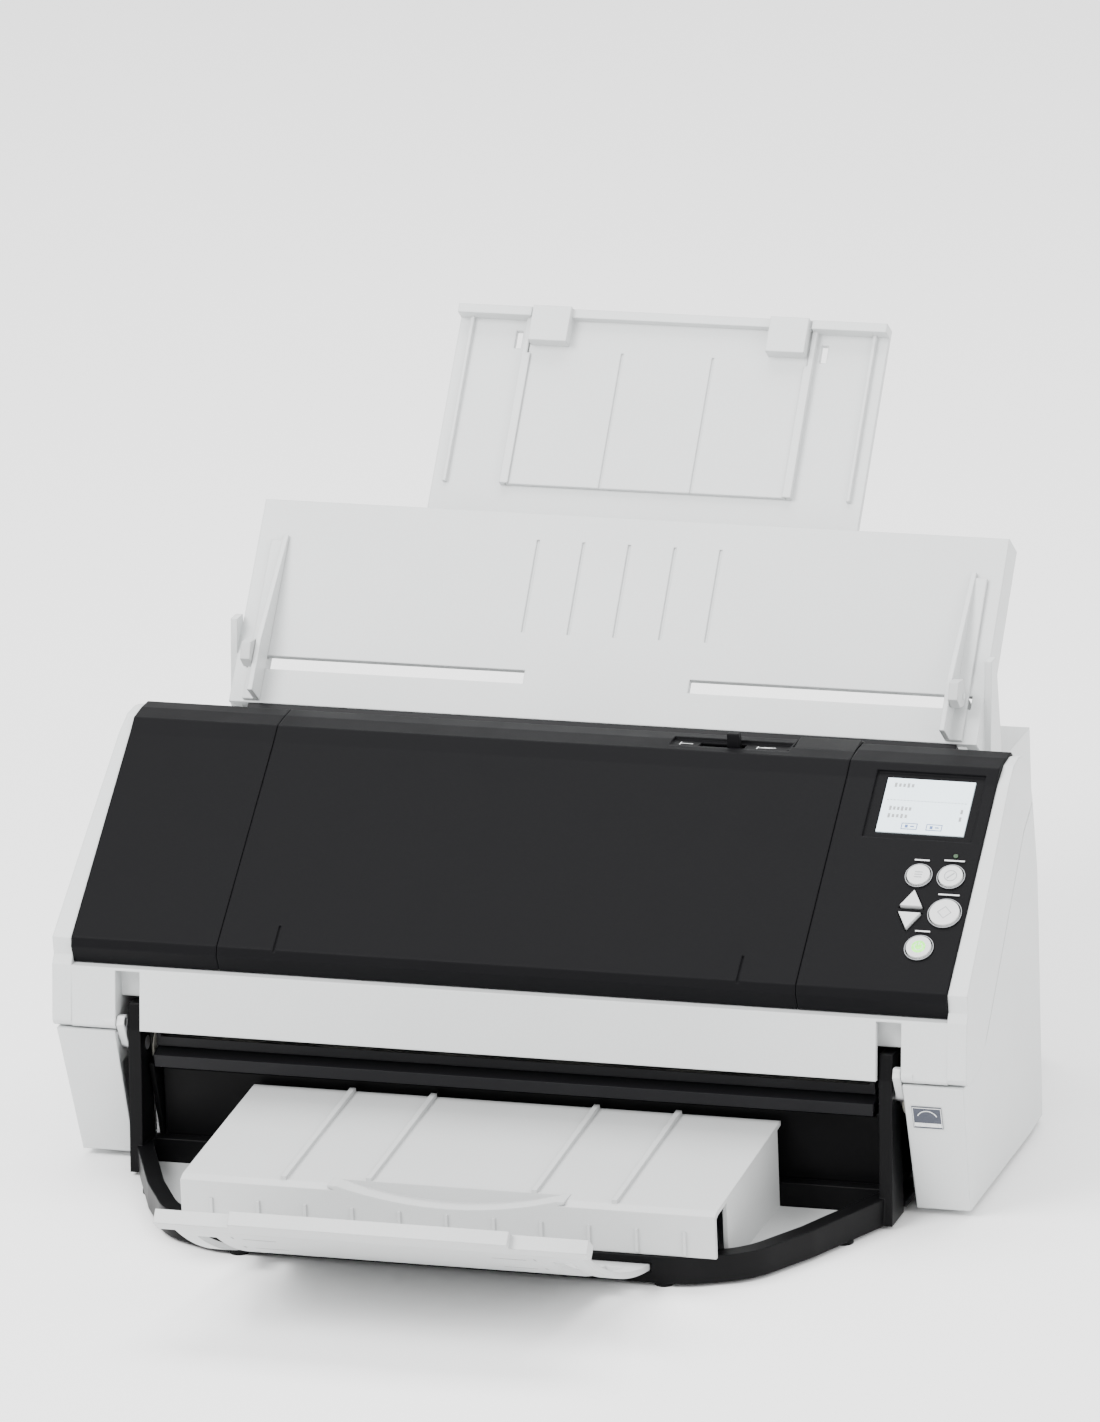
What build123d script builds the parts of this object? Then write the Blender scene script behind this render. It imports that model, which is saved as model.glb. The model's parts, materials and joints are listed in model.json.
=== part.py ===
from build123d import *
import os
from math import atan2, cos, degrees, hypot, pi, radians, sin, tan

# Sheet fed document scanner: X runs across the paper, Y from front to rear, Z up, in mm.
# Profiles are (y, z) pairs measured from the middle of the case's depth; the finished
# assembly is moved along Y at the end so that its origin is the centre of its footprint.

os.makedirs("parts", exist_ok=True)

# ---- driving dimensions ----
HALF_WIDTH = 190.0        # case, behind the flare
FLARE = 5.5               # the legs and bezel widen by this towards the front
CASE_FRONT = -104.5
CASE_REAR = 104.5
WALL = 2.5                # plastic shells
FIT = 0.05                # radial play of a shaft in its bearing
PLAY = 0.4                # sliding plastic parts
FOOT = 3.0                # rubber feet under the case

PARTING_Z = 61.5          # top of the front legs
PARTING_GAP = 0.8
PANEL_INNER = 168.5       # inner face of the side panels
PANEL_DRAFT = 4.5         # side panels lean in by this at the floor
FLARE_END = 31.0

SLOPE = 36.7              # degrees, the dark top covers
SLOPE_Y, SLOPE_Z = -101.0, 99.0   # foot of that slope
BEND_Y = -13.0            # where the slope turns into the ridge
RIDGE_Z = 168.0
COVER_HALF = 187.0
COVER_SEAM = 123.7
SEAM_GAP = 0.4
NOTCH_IN, NOTCH_OUT = 157.4, 168.0   # notches beside the exit lip

HINGE_Y, HINGE_Z, HINGE_R = -101.5, 65.0, 2.0
OPEN_CORNER = 3.0         # the cover's hinge corner is round about the hinge

FEED_ANGLE = 50.0         # degrees, paper chute and upper paper path
NIP_Y, NIP_Z = -36.0, 68.0           # where the path turns towards the exit
EXIT_Y, EXIT_Z = -98.0, 50.0
PATH_GAP = 1.4            # between the lower and upper guides
GUIDE_T = 2.0
PATH_HALF = 154.0

SHAFT_R = 4.0
FEED_R = 12.0
BRAKE_R = 9.0
EJECT_R = 9.0
PINCH_R = 6.0
ROLLER_PROUD = 0.4        # rollers stand this far out of the guide
ROLLER_GAP = 0.5          # between a driven roller and its idler
PULLEY_R = 10.0
BELT_T = 1.4
PULLEY_IN, PULLEY_OUT = 158.0, 161.8
CHASSIS_IN, CHASSIS_OUT = 162.5, 164.0

CHUTE_HALF = 163.0
CHUTE_START, CHUTE_END = 118.5, 211.0   # along the 50 degree plane from the nip
CHUTE_DEPTH = 14.0
SHEET_HALF = 149.5        # inner faces of the side guides
RACK_PITCH = 8.0          # pinion pitch radius
RACK_T = 137.0            # pinion centre along the chute
TEETH = 16

EXT_HALF, EXT_TOP, EXT_LONG = 94.5, 307.0, 113.0
EXT_BACK, EXT_PLATE = -12.0, 2.5
EXT2_HALF, EXT2_LONG, EXT2_PLATE = 61.4, 80.0, 2.0

STACK_FRONT = -188.0      # paper stacker
STACK_TOP = 13.0
STACK_RIM = 7.0
STACK_CORNER = 32.0
DIP_RADIUS, DIP_DEPTH = 170.0, 6.0      # finger dip in the platform's front edge
STACK_FLOOR = 1.6
PLATFORM_HALF = 113.0
PLATFORM_FRONT_Z, PLATFORM_REAR_Z, PLATFORM_REAR = 31.0, 38.0, -92.0
ARM_IN, ARM_OUT = 158.0, 163.5
STACK_PIVOT_Y, STACK_PIVOT_Z, STACK_PIN = -94.0, 54.0, 3.0
ARC_Y, ARC_Z, ARC_R = -153.0, 206.0, 201.0   # curved extension's centre line
ARC_START, ARC_END = 7.0, 41.0
ARC_PLATE, ARC_HALF, ARC_BAR, ARC_GRIP = 2.5, 85.0, 90.0, 58.0

LCD = (141.0, 178.0, 79.3, 106.0)            # x0, x1, up the slope from its foot
LCD_RECESS = (136.0, 182.0, 76.0, 109.0)
BUTTON_TRAVEL, BUTTON_PROUD, BUTTON_GAP = 1.0, 1.3, 0.4
BUTTONS = {               # name: (x, distance up the slope, radius)
    "menu_button": (163.8, 58.1, 4.8),
    "stop_button": (177.3, 58.4, 5.0),
    "scan_button": (178.3, 40.5, 6.2),
    "power_button": (171.0, 23.1, 5.2),
}
ARROWS = {"up_button": (163.8, 46.6, 1), "down_button": (163.8, 35.6, -1)}
ARROW_HALF = 4.6
CHECK_LED = (177.2, 68.8, 1.0)

NODES = {}


# ---- helpers ----
def put(name, shape):
    NODES[name] = shape


def slab(points, x0, x1, inset=0.0):
    """A closed (y, z) profile swept from x0 to x1."""
    face = make_face(Polyline(*points, close=True))
    if inset:
        face = offset(face, -inset, kind=Kind.INTERSECTION)
    return extrude(Plane.YZ.offset(x0) * face, amount=x1 - x0, dir=(1, 0, 0))


def block(x0, x1, y0, y1, z0, z1):
    centre = ((x0 + x1) / 2, (y0 + y1) / 2, (z0 + z1) / 2)
    return Pos(*centre) * Box(x1 - x0, y1 - y0, z1 - z0)


def rod(x0, x1, y, z, radius):
    """A cylinder along X."""
    centre = Pos((x0 + x1) / 2, y, z)
    return centre * Rot(0, 90, 0) * Cylinder(radius, x1 - x0)


def shifted(points, distance):
    """An open path moved sideways, left of its travel positive, with mitred corners."""
    moved = []
    for i, (u, v) in enumerate(points):
        ends = [(points[max(i - 1, 0)], points[max(i, 1)]),
                (points[min(i, len(points) - 2)], points[min(i + 1, len(points) - 1)])]
        normals = []
        for (u0, v0), (u1, v1) in ends:
            length = hypot(u1 - u0, v1 - v0)
            normals.append((-(v1 - v0) / length, (u1 - u0) / length))
        (a, b), (c, d) = normals
        share = distance / (1 + a * c + b * d)
        moved.append((u + share * (a + c), v + share * (b + d)))
    return moved


def band(points, thickness, x0, x1):
    """A sheet that follows a path, thickened to the left of its travel."""
    return slab(points + shifted(points, thickness)[::-1], x0, x1)


def tilted(angle, y, z):
    """A plane that climbs to the rear: local x across, y up the slope, z out of it."""
    a = radians(angle)
    return Plane(origin=(0, y, z), x_dir=(1, 0, 0), z_dir=(0, -sin(a), cos(a)))


CHUTE = tilted(FEED_ANGLE, NIP_Y, NIP_Z)
COVER = tilted(SLOPE, SLOPE_Y, SLOPE_Z)


def on(plane, x0, x1, s0, s1, n0, n1):
    """A block laid on a tilted plane."""
    return plane * block(x0, x1, s0, s1, n0, n1)


def at(angle, origin, s, n):
    """The (y, z) of a point s up a tilted plane and n out of it."""
    a = radians(angle)
    return (origin[0] + s * cos(a) - n * sin(a), origin[1] + s * sin(a) + n * cos(a))


def chute_at(s, n):
    return at(FEED_ANGLE, (NIP_Y, NIP_Z), s, n)


def slope_at(s, n):
    return at(SLOPE, (SLOPE_Y, SLOPE_Z), s, n)


def both(shape):
    """A piece and its mirror image across the middle."""
    return [shape, mirror(shape, about=Plane.YZ)]


def put_pair(name, right_shape):
    right, left = both(right_shape)
    put("right_" + name, right)
    put("left_" + name, left)


# ---- rollers: (y, z) of each axis ----
EXIT_ANGLE = degrees(atan2(NIP_Z - EXIT_Z, NIP_Y - EXIT_Y))
EXIT_FOOT = (EXIT_Y, EXIT_Z)
PICK_AT = chute_at(57.5, ROLLER_PROUD - FEED_R)
FEED_AT = chute_at(31.5, ROLLER_PROUD - FEED_R)
BRAKE_AT = chute_at(31.5, ROLLER_PROUD + ROLLER_GAP + BRAKE_R)
EJECT_AT = at(EXIT_ANGLE, EXIT_FOOT, 18.7, ROLLER_PROUD - EJECT_R)
PINCH_AT = at(EXIT_ANGLE, EXIT_FOOT, 18.7, ROLLER_PROUD + ROLLER_GAP + PINCH_R)
MOTOR_AT = (62.0, 40.0)
PICK_SPANS = [(-26.0, -4.0), (4.0, 26.0)]
FEED_SPANS = [(-30.0, -6.0), (6.0, 30.0)]
EJECT_SPANS = [(x - 11.0, x + 11.0) for x in (-125.0, -75.0, -25.0, 25.0, 75.0, 125.0)]


def rollers(axis, radius, spans, core):
    """Rubber sleeves on one shaft."""
    return [rod(x0, x1, *axis, radius) - rod(x0 - 1, x1 + 1, *axis, core) for x0, x1 in spans]


def pockets(axis, radius, spans):
    """The clearance round the same sleeves."""
    return [rod(x0 - 1.2, x1 + 1.2, *axis, radius + 1.0) for x0, x1 in spans]


def driven_roller(name, axis, radius, spans, pulley_sides):
    put(name + "_shaft", rod(-CHASSIS_OUT, CHASSIS_OUT, *axis, SHAFT_R))
    put(name + "_rollers", Compound(children=rollers(axis, radius, spans, SHAFT_R)))
    wheel = rod(PULLEY_IN, PULLEY_OUT, *axis, PULLEY_R) - rod(PULLEY_IN - 1, PULLEY_OUT + 1, *axis, SHAFT_R)
    wheels = [wheel if side > 0 else mirror(wheel, about=Plane.YZ) for side in pulley_sides]
    put(name + "_pulley", Compound(children=wheels))


def belt(axes, x0, x1, play=0.3):
    """A loop round several equal pulleys, standing just off them."""
    def hull(radius):
        rings = [Pos(y, z) * Circle(radius) for y, z in axes]
        edges = [edge for ring in rings for edge in ring.edges()]
        return make_face(make_hull(edges).edges())
    face = hull(PULLEY_R + play + BELT_T) - hull(PULLEY_R + play)
    return extrude(Plane.YZ.offset(x0) * face, amount=x1 - x0, dir=(1, 0, 0))


def build_drive():
    driven_roller("pick", PICK_AT, FEED_R, PICK_SPANS, [1])
    driven_roller("feed", FEED_AT, FEED_R, FEED_SPANS, [-1, 1])
    driven_roller("eject", EJECT_AT, EJECT_R, EJECT_SPANS, [-1])
    pick_belt = belt([PICK_AT, FEED_AT], PULLEY_IN + 0.4, PULLEY_OUT - 0.4)
    main_belt = belt([MOTOR_AT, FEED_AT, EJECT_AT], -PULLEY_OUT + 0.4, -PULLEY_IN - 0.4)
    put("drive_belts", Compound(children=[pick_belt, main_belt]))
    can = rod(-150.0, -108.0, *MOTOR_AT, 19.0)
    flange = rod(-152.0, -150.0, *MOTOR_AT, 24.0)
    nose = rod(-153.5, -152.0, *MOTOR_AT, 8.0)
    bore = rod(-154.0, -130.0, *MOTOR_AT, 2.5 + FIT)
    bracket = block(-152.0, -150.0, MOTOR_AT[0] - 22, MOTOR_AT[0] + 22, 5.5, MOTOR_AT[1])
    put("main_motor", can + flange + nose + bracket - bore)
    spindle = rod(-PULLEY_OUT, -131.0, *MOTOR_AT, 2.5)
    put("motor_pulley", rod(-PULLEY_OUT, -PULLEY_IN, *MOTOR_AT, PULLEY_R) + spindle)
    bushes = []
    for axis in (PICK_AT, FEED_AT, EJECT_AT):
        ring = rod(CHASSIS_IN, CHASSIS_OUT, *axis, 7.0)
        bushes += both(ring - rod(CHASSIS_IN - 1, CHASSIS_OUT + 1, *axis, SHAFT_R + FIT))
    put("shaft_bearings", Compound(children=bushes))


# ---- fixed case ----
PANEL_PROFILE = [(-88, FOOT), (-104, PARTING_Z), (-80, PARTING_Z), (8, 133),
                 (26, 140.5), (31, 110), (31, 91), (28, FOOT)]


def draft(shift):
    """What the lean of a side panel takes away."""
    top = HALF_WIDTH + FLARE
    outline = [(top, 95), (top - PANEL_DRAFT, FOOT - 1), (top + 10, FOOT - 1), (top + 10, 95)]
    face = make_face(Polyline(*[(x + shift, z) for x, z in outline], close=True))
    return extrude(Plane.XZ.offset(-60) * face, amount=180, dir=(0, -1, 0))


def flare(shift=0.0):
    """What the plan shape takes away: full width at the front, narrower from the middle on."""
    side = HALF_WIDTH + shift
    outline = [(side + FLARE, -112), (side + FLARE, -100), (side + FLARE - 1.5, -60), (side, FLARE_END),
               (side, 60), (side + 20, 60), (side + 20, -112)]
    face = make_face(Polyline(*outline, close=True))
    return extrude(face, amount=200)


def side_panel():
    side = HALF_WIDTH + FLARE
    outer = slab(PANEL_PROFILE, PANEL_INNER, side) - draft(0) - flare()
    hollow = slab(PANEL_PROFILE, PANEL_INNER - 1, side - WALL, inset=WALL) - flare(-WALL)
    lug = [(-99, 54), (-102.6, 61), (-104.3, 64.4), (-102.6, 67.9), (-99.6, 67.6),
           (-90, 57), (-90, 54)]
    root = [(-98.5, 56), (-102.2, 60.5), (-90, 60.5), (-90, 56)]
    ear = slab(lug, CHASSIS_OUT + 0.4, NOTCH_OUT - PLAY) + slab(root, CHASSIS_OUT + 0.4, PANEL_INNER + 2)
    boss = rod(PANEL_INNER, PANEL_INNER + 6, STACK_PIVOT_Y, STACK_PIVOT_Z, 6.5)
    pin = rod(ARM_IN - 10, PANEL_INNER + 9, STACK_PIVOT_Y, STACK_PIVOT_Z, STACK_PIN)
    hinge = rod(CHASSIS_OUT, PANEL_INNER + 9, HINGE_Y, HINGE_Z, HINGE_R)
    web = slab([(-97, 46), (-101, 57), (-89, 57), (-89, 46)], PANEL_INNER, PANEL_INNER + 6)
    return outer - (hollow - draft(-WALL)) + ear + boss + web - pin - hinge


def build_case():
    put_pair("side_panel", side_panel())
    floor = block(-CHASSIS_IN - 1.5, CHASSIS_IN + 1.5, -88, CASE_REAR - 3, FOOT, 5.5)
    apron = block(-PATH_HALF, PATH_HALF, -88, -85.5, 5.5, 41)
    ribs = [block(x, x + 2, -85.5, -60, 5.5, 30) for x in (-121, -61, -1, 59, 119)]
    pan = floor + apron
    for rib in ribs:
        pan += rib
    put("base_pan", pan)
    put("rear_cover", rear_cover())
    put("chassis_plates", Compound(children=both(chassis_plate())))
    walls = slab([(-86, 5.5), (-96.5, 45.5), (-36, 62.5), (39, 151), (44, 146), (44, 5.5)], 155, 157)
    for axis in (PICK_AT, FEED_AT, EJECT_AT):
        walls -= rod(150, 160, *axis, SHAFT_R + 1)
    put("exit_walls", Compound(children=both(walls)))
    feet = []
    for x in (-150.0, 150.0):
        for y in (-62.0, 88.0):
            feet.append(Pos(x, y, FOOT / 2) * Cylinder(8, FOOT))
    put("rubber_feet", Compound(children=feet))
    pins = both(rod(CHASSIS_OUT + 0.6, PANEL_INNER + 4, HINGE_Y, HINGE_Z, HINGE_R))
    pins += both(rod(ARM_IN, PANEL_INNER + 6, STACK_PIVOT_Y, STACK_PIVOT_Z, STACK_PIN))
    put("pivot_pins", Compound(children=pins))
    build_electronics()


REAR_PROFILE = [(31.3, 5.5), (CASE_REAR, 5.5), (CASE_REAR, 146), (58, 146), (31.3, 118)]
INLET = (92.0, 120.0, 20.0, 44.0)      # x0, x1, z0, z1 on the rear face
USB = (-132.0, -119.0, 24.0, 36.0)
LOCK_SLOT = (-146.0, -142.0, 24.0, 32.0)


def rear_cover():
    side = PANEL_INNER - 0.5
    shell = slab(REAR_PROFILE, -side, side)
    shell -= slab(REAR_PROFILE, -side + WALL, side - WALL, inset=WALL)
    shell -= block(-side + WALL, side - WALL, 20, 40, 0, 112)
    shell -= block(-side + WALL, side - WALL, 30, CASE_REAR - WALL, 0, 9)
    deck = band([(15, 121), (31, 133), (56, 146)], -WALL, 157.5, side)
    cheek = slab([(31.3, 110), (31.3, 130.5), (56, 143.5), (58, 143.5)], side - WALL, side)
    for slot in both(block(154.6, 157.4, 30, 45, 100, 150)):
        shell -= slot
    shell += both(deck)[0] + both(deck)[1] + both(cheek)[0] + both(cheek)[1]
    for x0, x1, z0, z1 in (INLET, USB, LOCK_SLOT):
        shell -= block(x0, x1, CASE_REAR - 9.5, CASE_REAR + 5, z0, z1)
    for i in range(9):
        shell -= block(-40 + 10 * i, -36 + 10 * i, CASE_REAR - 9.5, CASE_REAR + 5, 70, 110)
    return shell


def chassis_plate():
    outline = [(-72, 5.5), (-72, 48), (-40, 57), (4, 109), (22, 109), (36.5, 111.5), (52, 136), (98, 136), (98, 5.5)]
    plate = slab(outline, CHASSIS_IN, CHASSIS_OUT)
    for axis in (PICK_AT, FEED_AT, EJECT_AT):
        plate -= rod(CHASSIS_IN - 1, CHASSIS_OUT + 1, *axis, 7.0)
    for y, z, radius in ((-30, 28, 12), (10, 40, 14), (75, 90, 18)):
        plate -= rod(CHASSIS_IN - 1, CHASSIS_OUT + 1, y, z, radius)
    flange = block(CHASSIS_IN - 5, CHASSIS_OUT, -60, 90, 5.5, 7.0)
    return plate + flange


def build_electronics():
    board = block(-90, 86, 36, 96, 14, 15.6)
    for x in (-84, 80):
        for y in (42, 90):
            board += Pos(x, y, 9.75) * Cylinder(3, 8.5)
    for x, y, w, d, h in ((-60, 50, 26, 26, 3), (-10, 48, 18, 14, 2), (30, 60, 14, 20, 12),
                          (60, 50, 10, 30, 9), (-20, 74, 30, 10, 5)):
        board += block(x, x + w, y, y + d, 15.6, 15.6 + h)
    put("main_board", board)
    x0, x1, z0, z1 = INLET
    back = CASE_REAR - 20.5
    inlet = block(x0, x1, back, CASE_REAR, z0, z1)
    inlet -= block(x0 + 2, x1 - 2, back + 4, CASE_REAR + 5, z0 + 2, z1 - 2)
    for i in range(3):
        x = (x0 + x1) / 2 + 7 * (i - 1)
        inlet += block(x - 1, x + 1, back + 3, CASE_REAR - 4, 31 + 3 * (i % 2), 34 + 3 * (i % 2))
    put("power_inlet", inlet)
    x0, x1, z0, z1 = USB
    back = CASE_REAR - 14.5
    port = block(x0, x1, back, CASE_REAR, z0, z1)
    port -= block(x0 + 0.6, x1 - 0.6, back + 2, CASE_REAR + 5, z0 + 0.6, z1 - 0.6)
    put("usb_port", port + block(x0 + 3, x1 - 3, back + 1, CASE_REAR - 3.5, z0 + 4, z1 - 5))
    screws = []
    for x in (-158.0, -60.0, 60.0, 158.0):
        for z in (14.0, 134.0):
            head = Pos(x, CASE_REAR + 0.5, z) * Rot(90, 0, 0) * Cylinder(3.2, 1.0)
            screws.append(head)
    put("case_screws", Compound(children=screws))


# ---- lower paper path ----
def build_lower_path():
    upper_run = [chute_at(CHUTE_START - 0.3, 0), chute_at(17.4, 0)]
    exit_run = [(NIP_Y - 1.2, NIP_Z - 0.4), (EXIT_Y, EXIT_Z), (EXIT_Y, EXIT_Z - 5)]
    guide = band(upper_run, GUIDE_T, -PATH_HALF, PATH_HALF)
    guide += band(exit_run, GUIDE_T, -PATH_HALF, PATH_HALF)
    edge = [chute_at(CHUTE_START - 0.3, 0), (NIP_Y, NIP_Z), (EXIT_Y, EXIT_Z)]
    for rail in both(band(edge, 3.8, PATH_HALF - 2, PATH_HALF + 0.4)):
        guide += rail
    for axis, radius, spans in ((PICK_AT, FEED_R, PICK_SPANS), (FEED_AT, FEED_R, FEED_SPANS),
                                (EJECT_AT, EJECT_R, EJECT_SPANS)):
        for pocket in pockets(axis, radius, spans):
            guide -= pocket
    put("lower_guide", guide)
    half = PATH_HALF - 2.6
    put("lower_scan_glass", on(CHUTE, -half, half, 2, 16.4, -2, 0))
    put("lower_scan_unit", on(CHUTE, -half, half, 1, 17, -29, -2.1))


# ---- chute, its side guides and extensions ----
GUIDE_SLOT = (RACK_T - 3, RACK_T + 3)


def build_chute():
    plate = on(CHUTE, -CHUTE_HALF, CHUTE_HALF, CHUTE_START, CHUTE_END, -3, 0)
    for rim in both(on(CHUTE, CHUTE_HALF - 5, CHUTE_HALF, CHUTE_START, CHUTE_END, -CHUTE_DEPTH, 0)):
        plate += rim
    stand = slab([(50, 146), (56, 190), (63, 190), (68, 146)], CHUTE_HALF, CHUTE_HALF + 3)
    rail_x = EXT_HALF + PLAY
    rail_from = RACK_T + 17
    rail = on(CHUTE, rail_x, rail_x + 3, rail_from, CHUTE_END, -CHUTE_DEPTH, -3)
    under = on(CHUTE, rail_x - 5, rail_x, rail_from, CHUTE_END, -CHUTE_DEPTH, EXT_BACK - PLAY)
    over = on(CHUTE, rail_x - 5, rail_x, rail_from, CHUTE_END - 3, EXT_BACK + EXT_PLATE + PLAY, -8)
    top = on(CHUTE, rail_x + 3, CHUTE_HALF, CHUTE_END - 3, CHUTE_END, -CHUTE_DEPTH, 0)
    rib = on(CHUTE, 125, 127, rail_from, CHUTE_END - 3, -9, -3)
    for piece in (stand, rail, under, over, top, rib):
        for copy in both(piece):
            plate += copy
    for slot in both(on(CHUTE, 36, CHUTE_HALF - 5, *GUIDE_SLOT, -4, 1)):
        plate -= slot
    for i in range(5):
        groove = on(CHUTE, -40 + 20 * i - 0.6, -40 + 20 * i + 0.6, RACK_T + 20, CHUTE_END - 12, -0.6, 1)
        plate -= groove
    plate += CHUTE * Pos(0, RACK_T, -5.9) * Cylinder(3, 5.8)
    put("chute_panel", plate)
    build_guides()
    build_extensions()


def tooth(centre, root, tip):
    """Four corners of one tooth along a line: (position, height)."""
    return [(centre - 0.95, root), (centre - 0.4, tip), (centre + 0.4, tip), (centre + 0.95, root)]


def rack(x0, x1, tooth_from, tooth_to):
    """A toothed bar under the chute whose teeth point up the slope to the pinion."""
    pitch_line = RACK_T - RACK_PITCH
    pitch = 2 * pi * RACK_PITCH / TEETH
    points = [(x0, pitch_line - 6.5), (x0, pitch_line - 1.2)]
    count = int((tooth_to - tooth_from) / pitch)
    first = (int(tooth_from / pitch) + 0.5) * pitch
    for i in range(count):
        points += tooth(first + i * pitch, pitch_line - 1.2, pitch_line + 0.8)
    points += [(x1, pitch_line - 1.2), (x1, pitch_line - 6.5)]
    face = make_face(Polyline(*points, close=True))
    return CHUTE * extrude(Pos(0, 0, -8.2) * face, amount=4.4, dir=(0, 0, 1))


def right_guide():
    fin = [(CHUTE_START + 1, 0.3), (CHUTE_START + 1, 12), (RACK_T + 6, 12), (194.5, 1.6), (194.5, 0.3)]
    side = slab(fin, SHEET_HALF, SHEET_HALF + 2.2)
    foot = block(SHEET_HALF, SHEET_HALF + 7.2, CHUTE_START + 1, 192, 0.3, 1.8)
    stem = block(SHEET_HALF + 0.8, SHEET_HALF + 6.4, RACK_T - 2.6, RACK_T + 2.6, -3.9, 0.4)
    carrier = block(SHEET_HALF + 0.8, SHEET_HALF + 6.4, RACK_T - 14.5, RACK_T + 2.6, -8.2, -3.8)
    pin = rod(SHEET_HALF + 2, SHEET_HALF + 7, RACK_T, 7, 1.5)
    place = CHUTE.location
    return place * (side + foot + stem + carrier + pin)


def lock_lever():
    outline = [(RACK_T - 3, 4), (RACK_T - 6, 9), (RACK_T - 5, 15), (RACK_T + 2, 17),
               (RACK_T + 6, 11), (RACK_T + 3, 4)]
    lever = slab(outline, SHEET_HALF + 2.5, SHEET_HALF + 6.6)
    lever -= rod(SHEET_HALF + 2, SHEET_HALF + 8, RACK_T, 7, 1.5 + FIT)
    return CHUTE.location * lever


def turned(shape):
    """Half a turn about the pinion's axis, which makes the left guide from the right."""
    local = CHUTE.location.inverse() * shape
    return CHUTE.location * (Pos(0, RACK_T, 0) * Rot(0, 0, 180) * Pos(0, -RACK_T, 0) * local)


def build_guides():
    bar = rack(-24, SHEET_HALF + 1, -8, 124)
    put("right_side_guide", right_guide() + bar)
    put("left_side_guide", left_guide() + turned(bar))
    put_pair("guide_lock_lever", lock_lever())
    points = []
    for i in range(TEETH):
        for along, out in ((-0.95, -1.2), (-0.4, 0.8), (0.4, 0.8), (0.95, -1.2)):
            angle = 2 * pi * (i + 0.5) / TEETH + pi / 2 + pi / TEETH
            radius = RACK_PITCH + out
            swing = angle + along / radius
            points.append((radius * cos(swing), radius * sin(swing)))
    face = make_face(Polyline(*points, close=True)) - Circle(3 + FIT)
    wheel = extrude(Pos(0, RACK_T, -8.2) * face, amount=4.4, dir=(0, 0, 1))
    put("guide_pinion", CHUTE * wheel)


def left_guide():
    """The right guide's mirror image, with its carrier turned to the upper rack."""
    guide = mirror(right_guide(), about=Plane.YZ)
    low = on(CHUTE, -SHEET_HALF - 7, -SHEET_HALF, RACK_T - 20, RACK_T - 2.6, -9, -3)
    high = on(CHUTE, -SHEET_HALF - 6.4, -SHEET_HALF - 0.8, RACK_T + 2.6, RACK_T + 14.5, -8.2, -3.8)
    return guide - low + high


def build_extensions():
    start = EXT_TOP - EXT_LONG
    front = EXT_BACK + EXT_PLATE
    plate = on(CHUTE, -EXT_HALF, EXT_HALF, start, EXT_TOP, EXT_BACK, front)
    rail_x = EXT2_HALF + PLAY
    lip = on(CHUTE, rail_x, EXT_HALF, EXT_TOP - 4, EXT_TOP, front, -3.6)
    low = EXT_TOP - EXT2_LONG
    side = on(CHUTE, EXT_HALF - 6.5, EXT_HALF - 5, low, EXT_TOP, front, -7.5)
    rail = on(CHUTE, rail_x, rail_x + 2.2, low, EXT_TOP - 4, front, -6.4)
    keeper = on(CHUTE, rail_x - 1.5, rail_x, low, EXT_TOP - 20, front + EXT2_PLATE + PLAY, -6.4)
    for piece in (lip, side, rail, keeper):
        for copy in both(piece):
            plate += copy
    for slot in both(on(CHUTE, rail_x + 4, rail_x + 7, EXT_TOP - 17, EXT_TOP - 9, -15, 0)):
        plate -= slot
    for cut in both(on(CHUTE, 28, 29.2, start + 6, EXT_TOP - 30, -20, front - 0.8)):
        plate -= cut
    put("chute_extension", plate)
    base = front + 0.1
    inner = on(CHUTE, -EXT2_HALF, EXT2_HALF, EXT_TOP - EXT2_LONG, EXT_TOP, base, front + EXT2_PLATE)
    inner += on(CHUTE, -EXT2_HALF, EXT2_HALF, EXT_TOP - 4, EXT_TOP, base, -4.2)
    for tab in both(on(CHUTE, EXT2_HALF - 17.5, EXT2_HALF - 0.6, EXT_TOP - 16, EXT_TOP, base, -1.6)):
        inner += tab
    for x in (-20, 20):
        inner -= on(CHUTE, x - 0.5, x + 0.5, EXT_TOP - EXT2_LONG - 1, EXT_TOP - 18, front + EXT2_PLATE - 0.5, 0)
    put("chute_extension_centre", inner)


# ---- opening cover (document feeder) ----
BEND_Z = SLOPE_Z + (BEND_Y - SLOPE_Y) * tan(radians(SLOPE))
COVER_PATH = [(-98, 89), (-100.6, 96.2), (SLOPE_Y + 1.5, SLOPE_Z + 1.5 * tan(radians(SLOPE))),
              (BEND_Y - 4, BEND_Z - 4 * tan(radians(SLOPE))), (BEND_Y + 2, BEND_Z + 2.2),
              (-1, RIDGE_Z), (7, RIDGE_Z), (10, RIDGE_Z - 2.5), (11.5, RIDGE_Z - 9)]
LEVER_SPAN = (97.0, 123.0)
SELECTOR = (45.0, 96.0, 57.0, 76.0)    # recess x0, x1 and slot x0, x1
SELECTOR_X, SELECTOR_TRAVEL = 71.7, 11.0


def top_cover(x0, x1):
    return band(COVER_PATH, -WALL, x0, x1)


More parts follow.
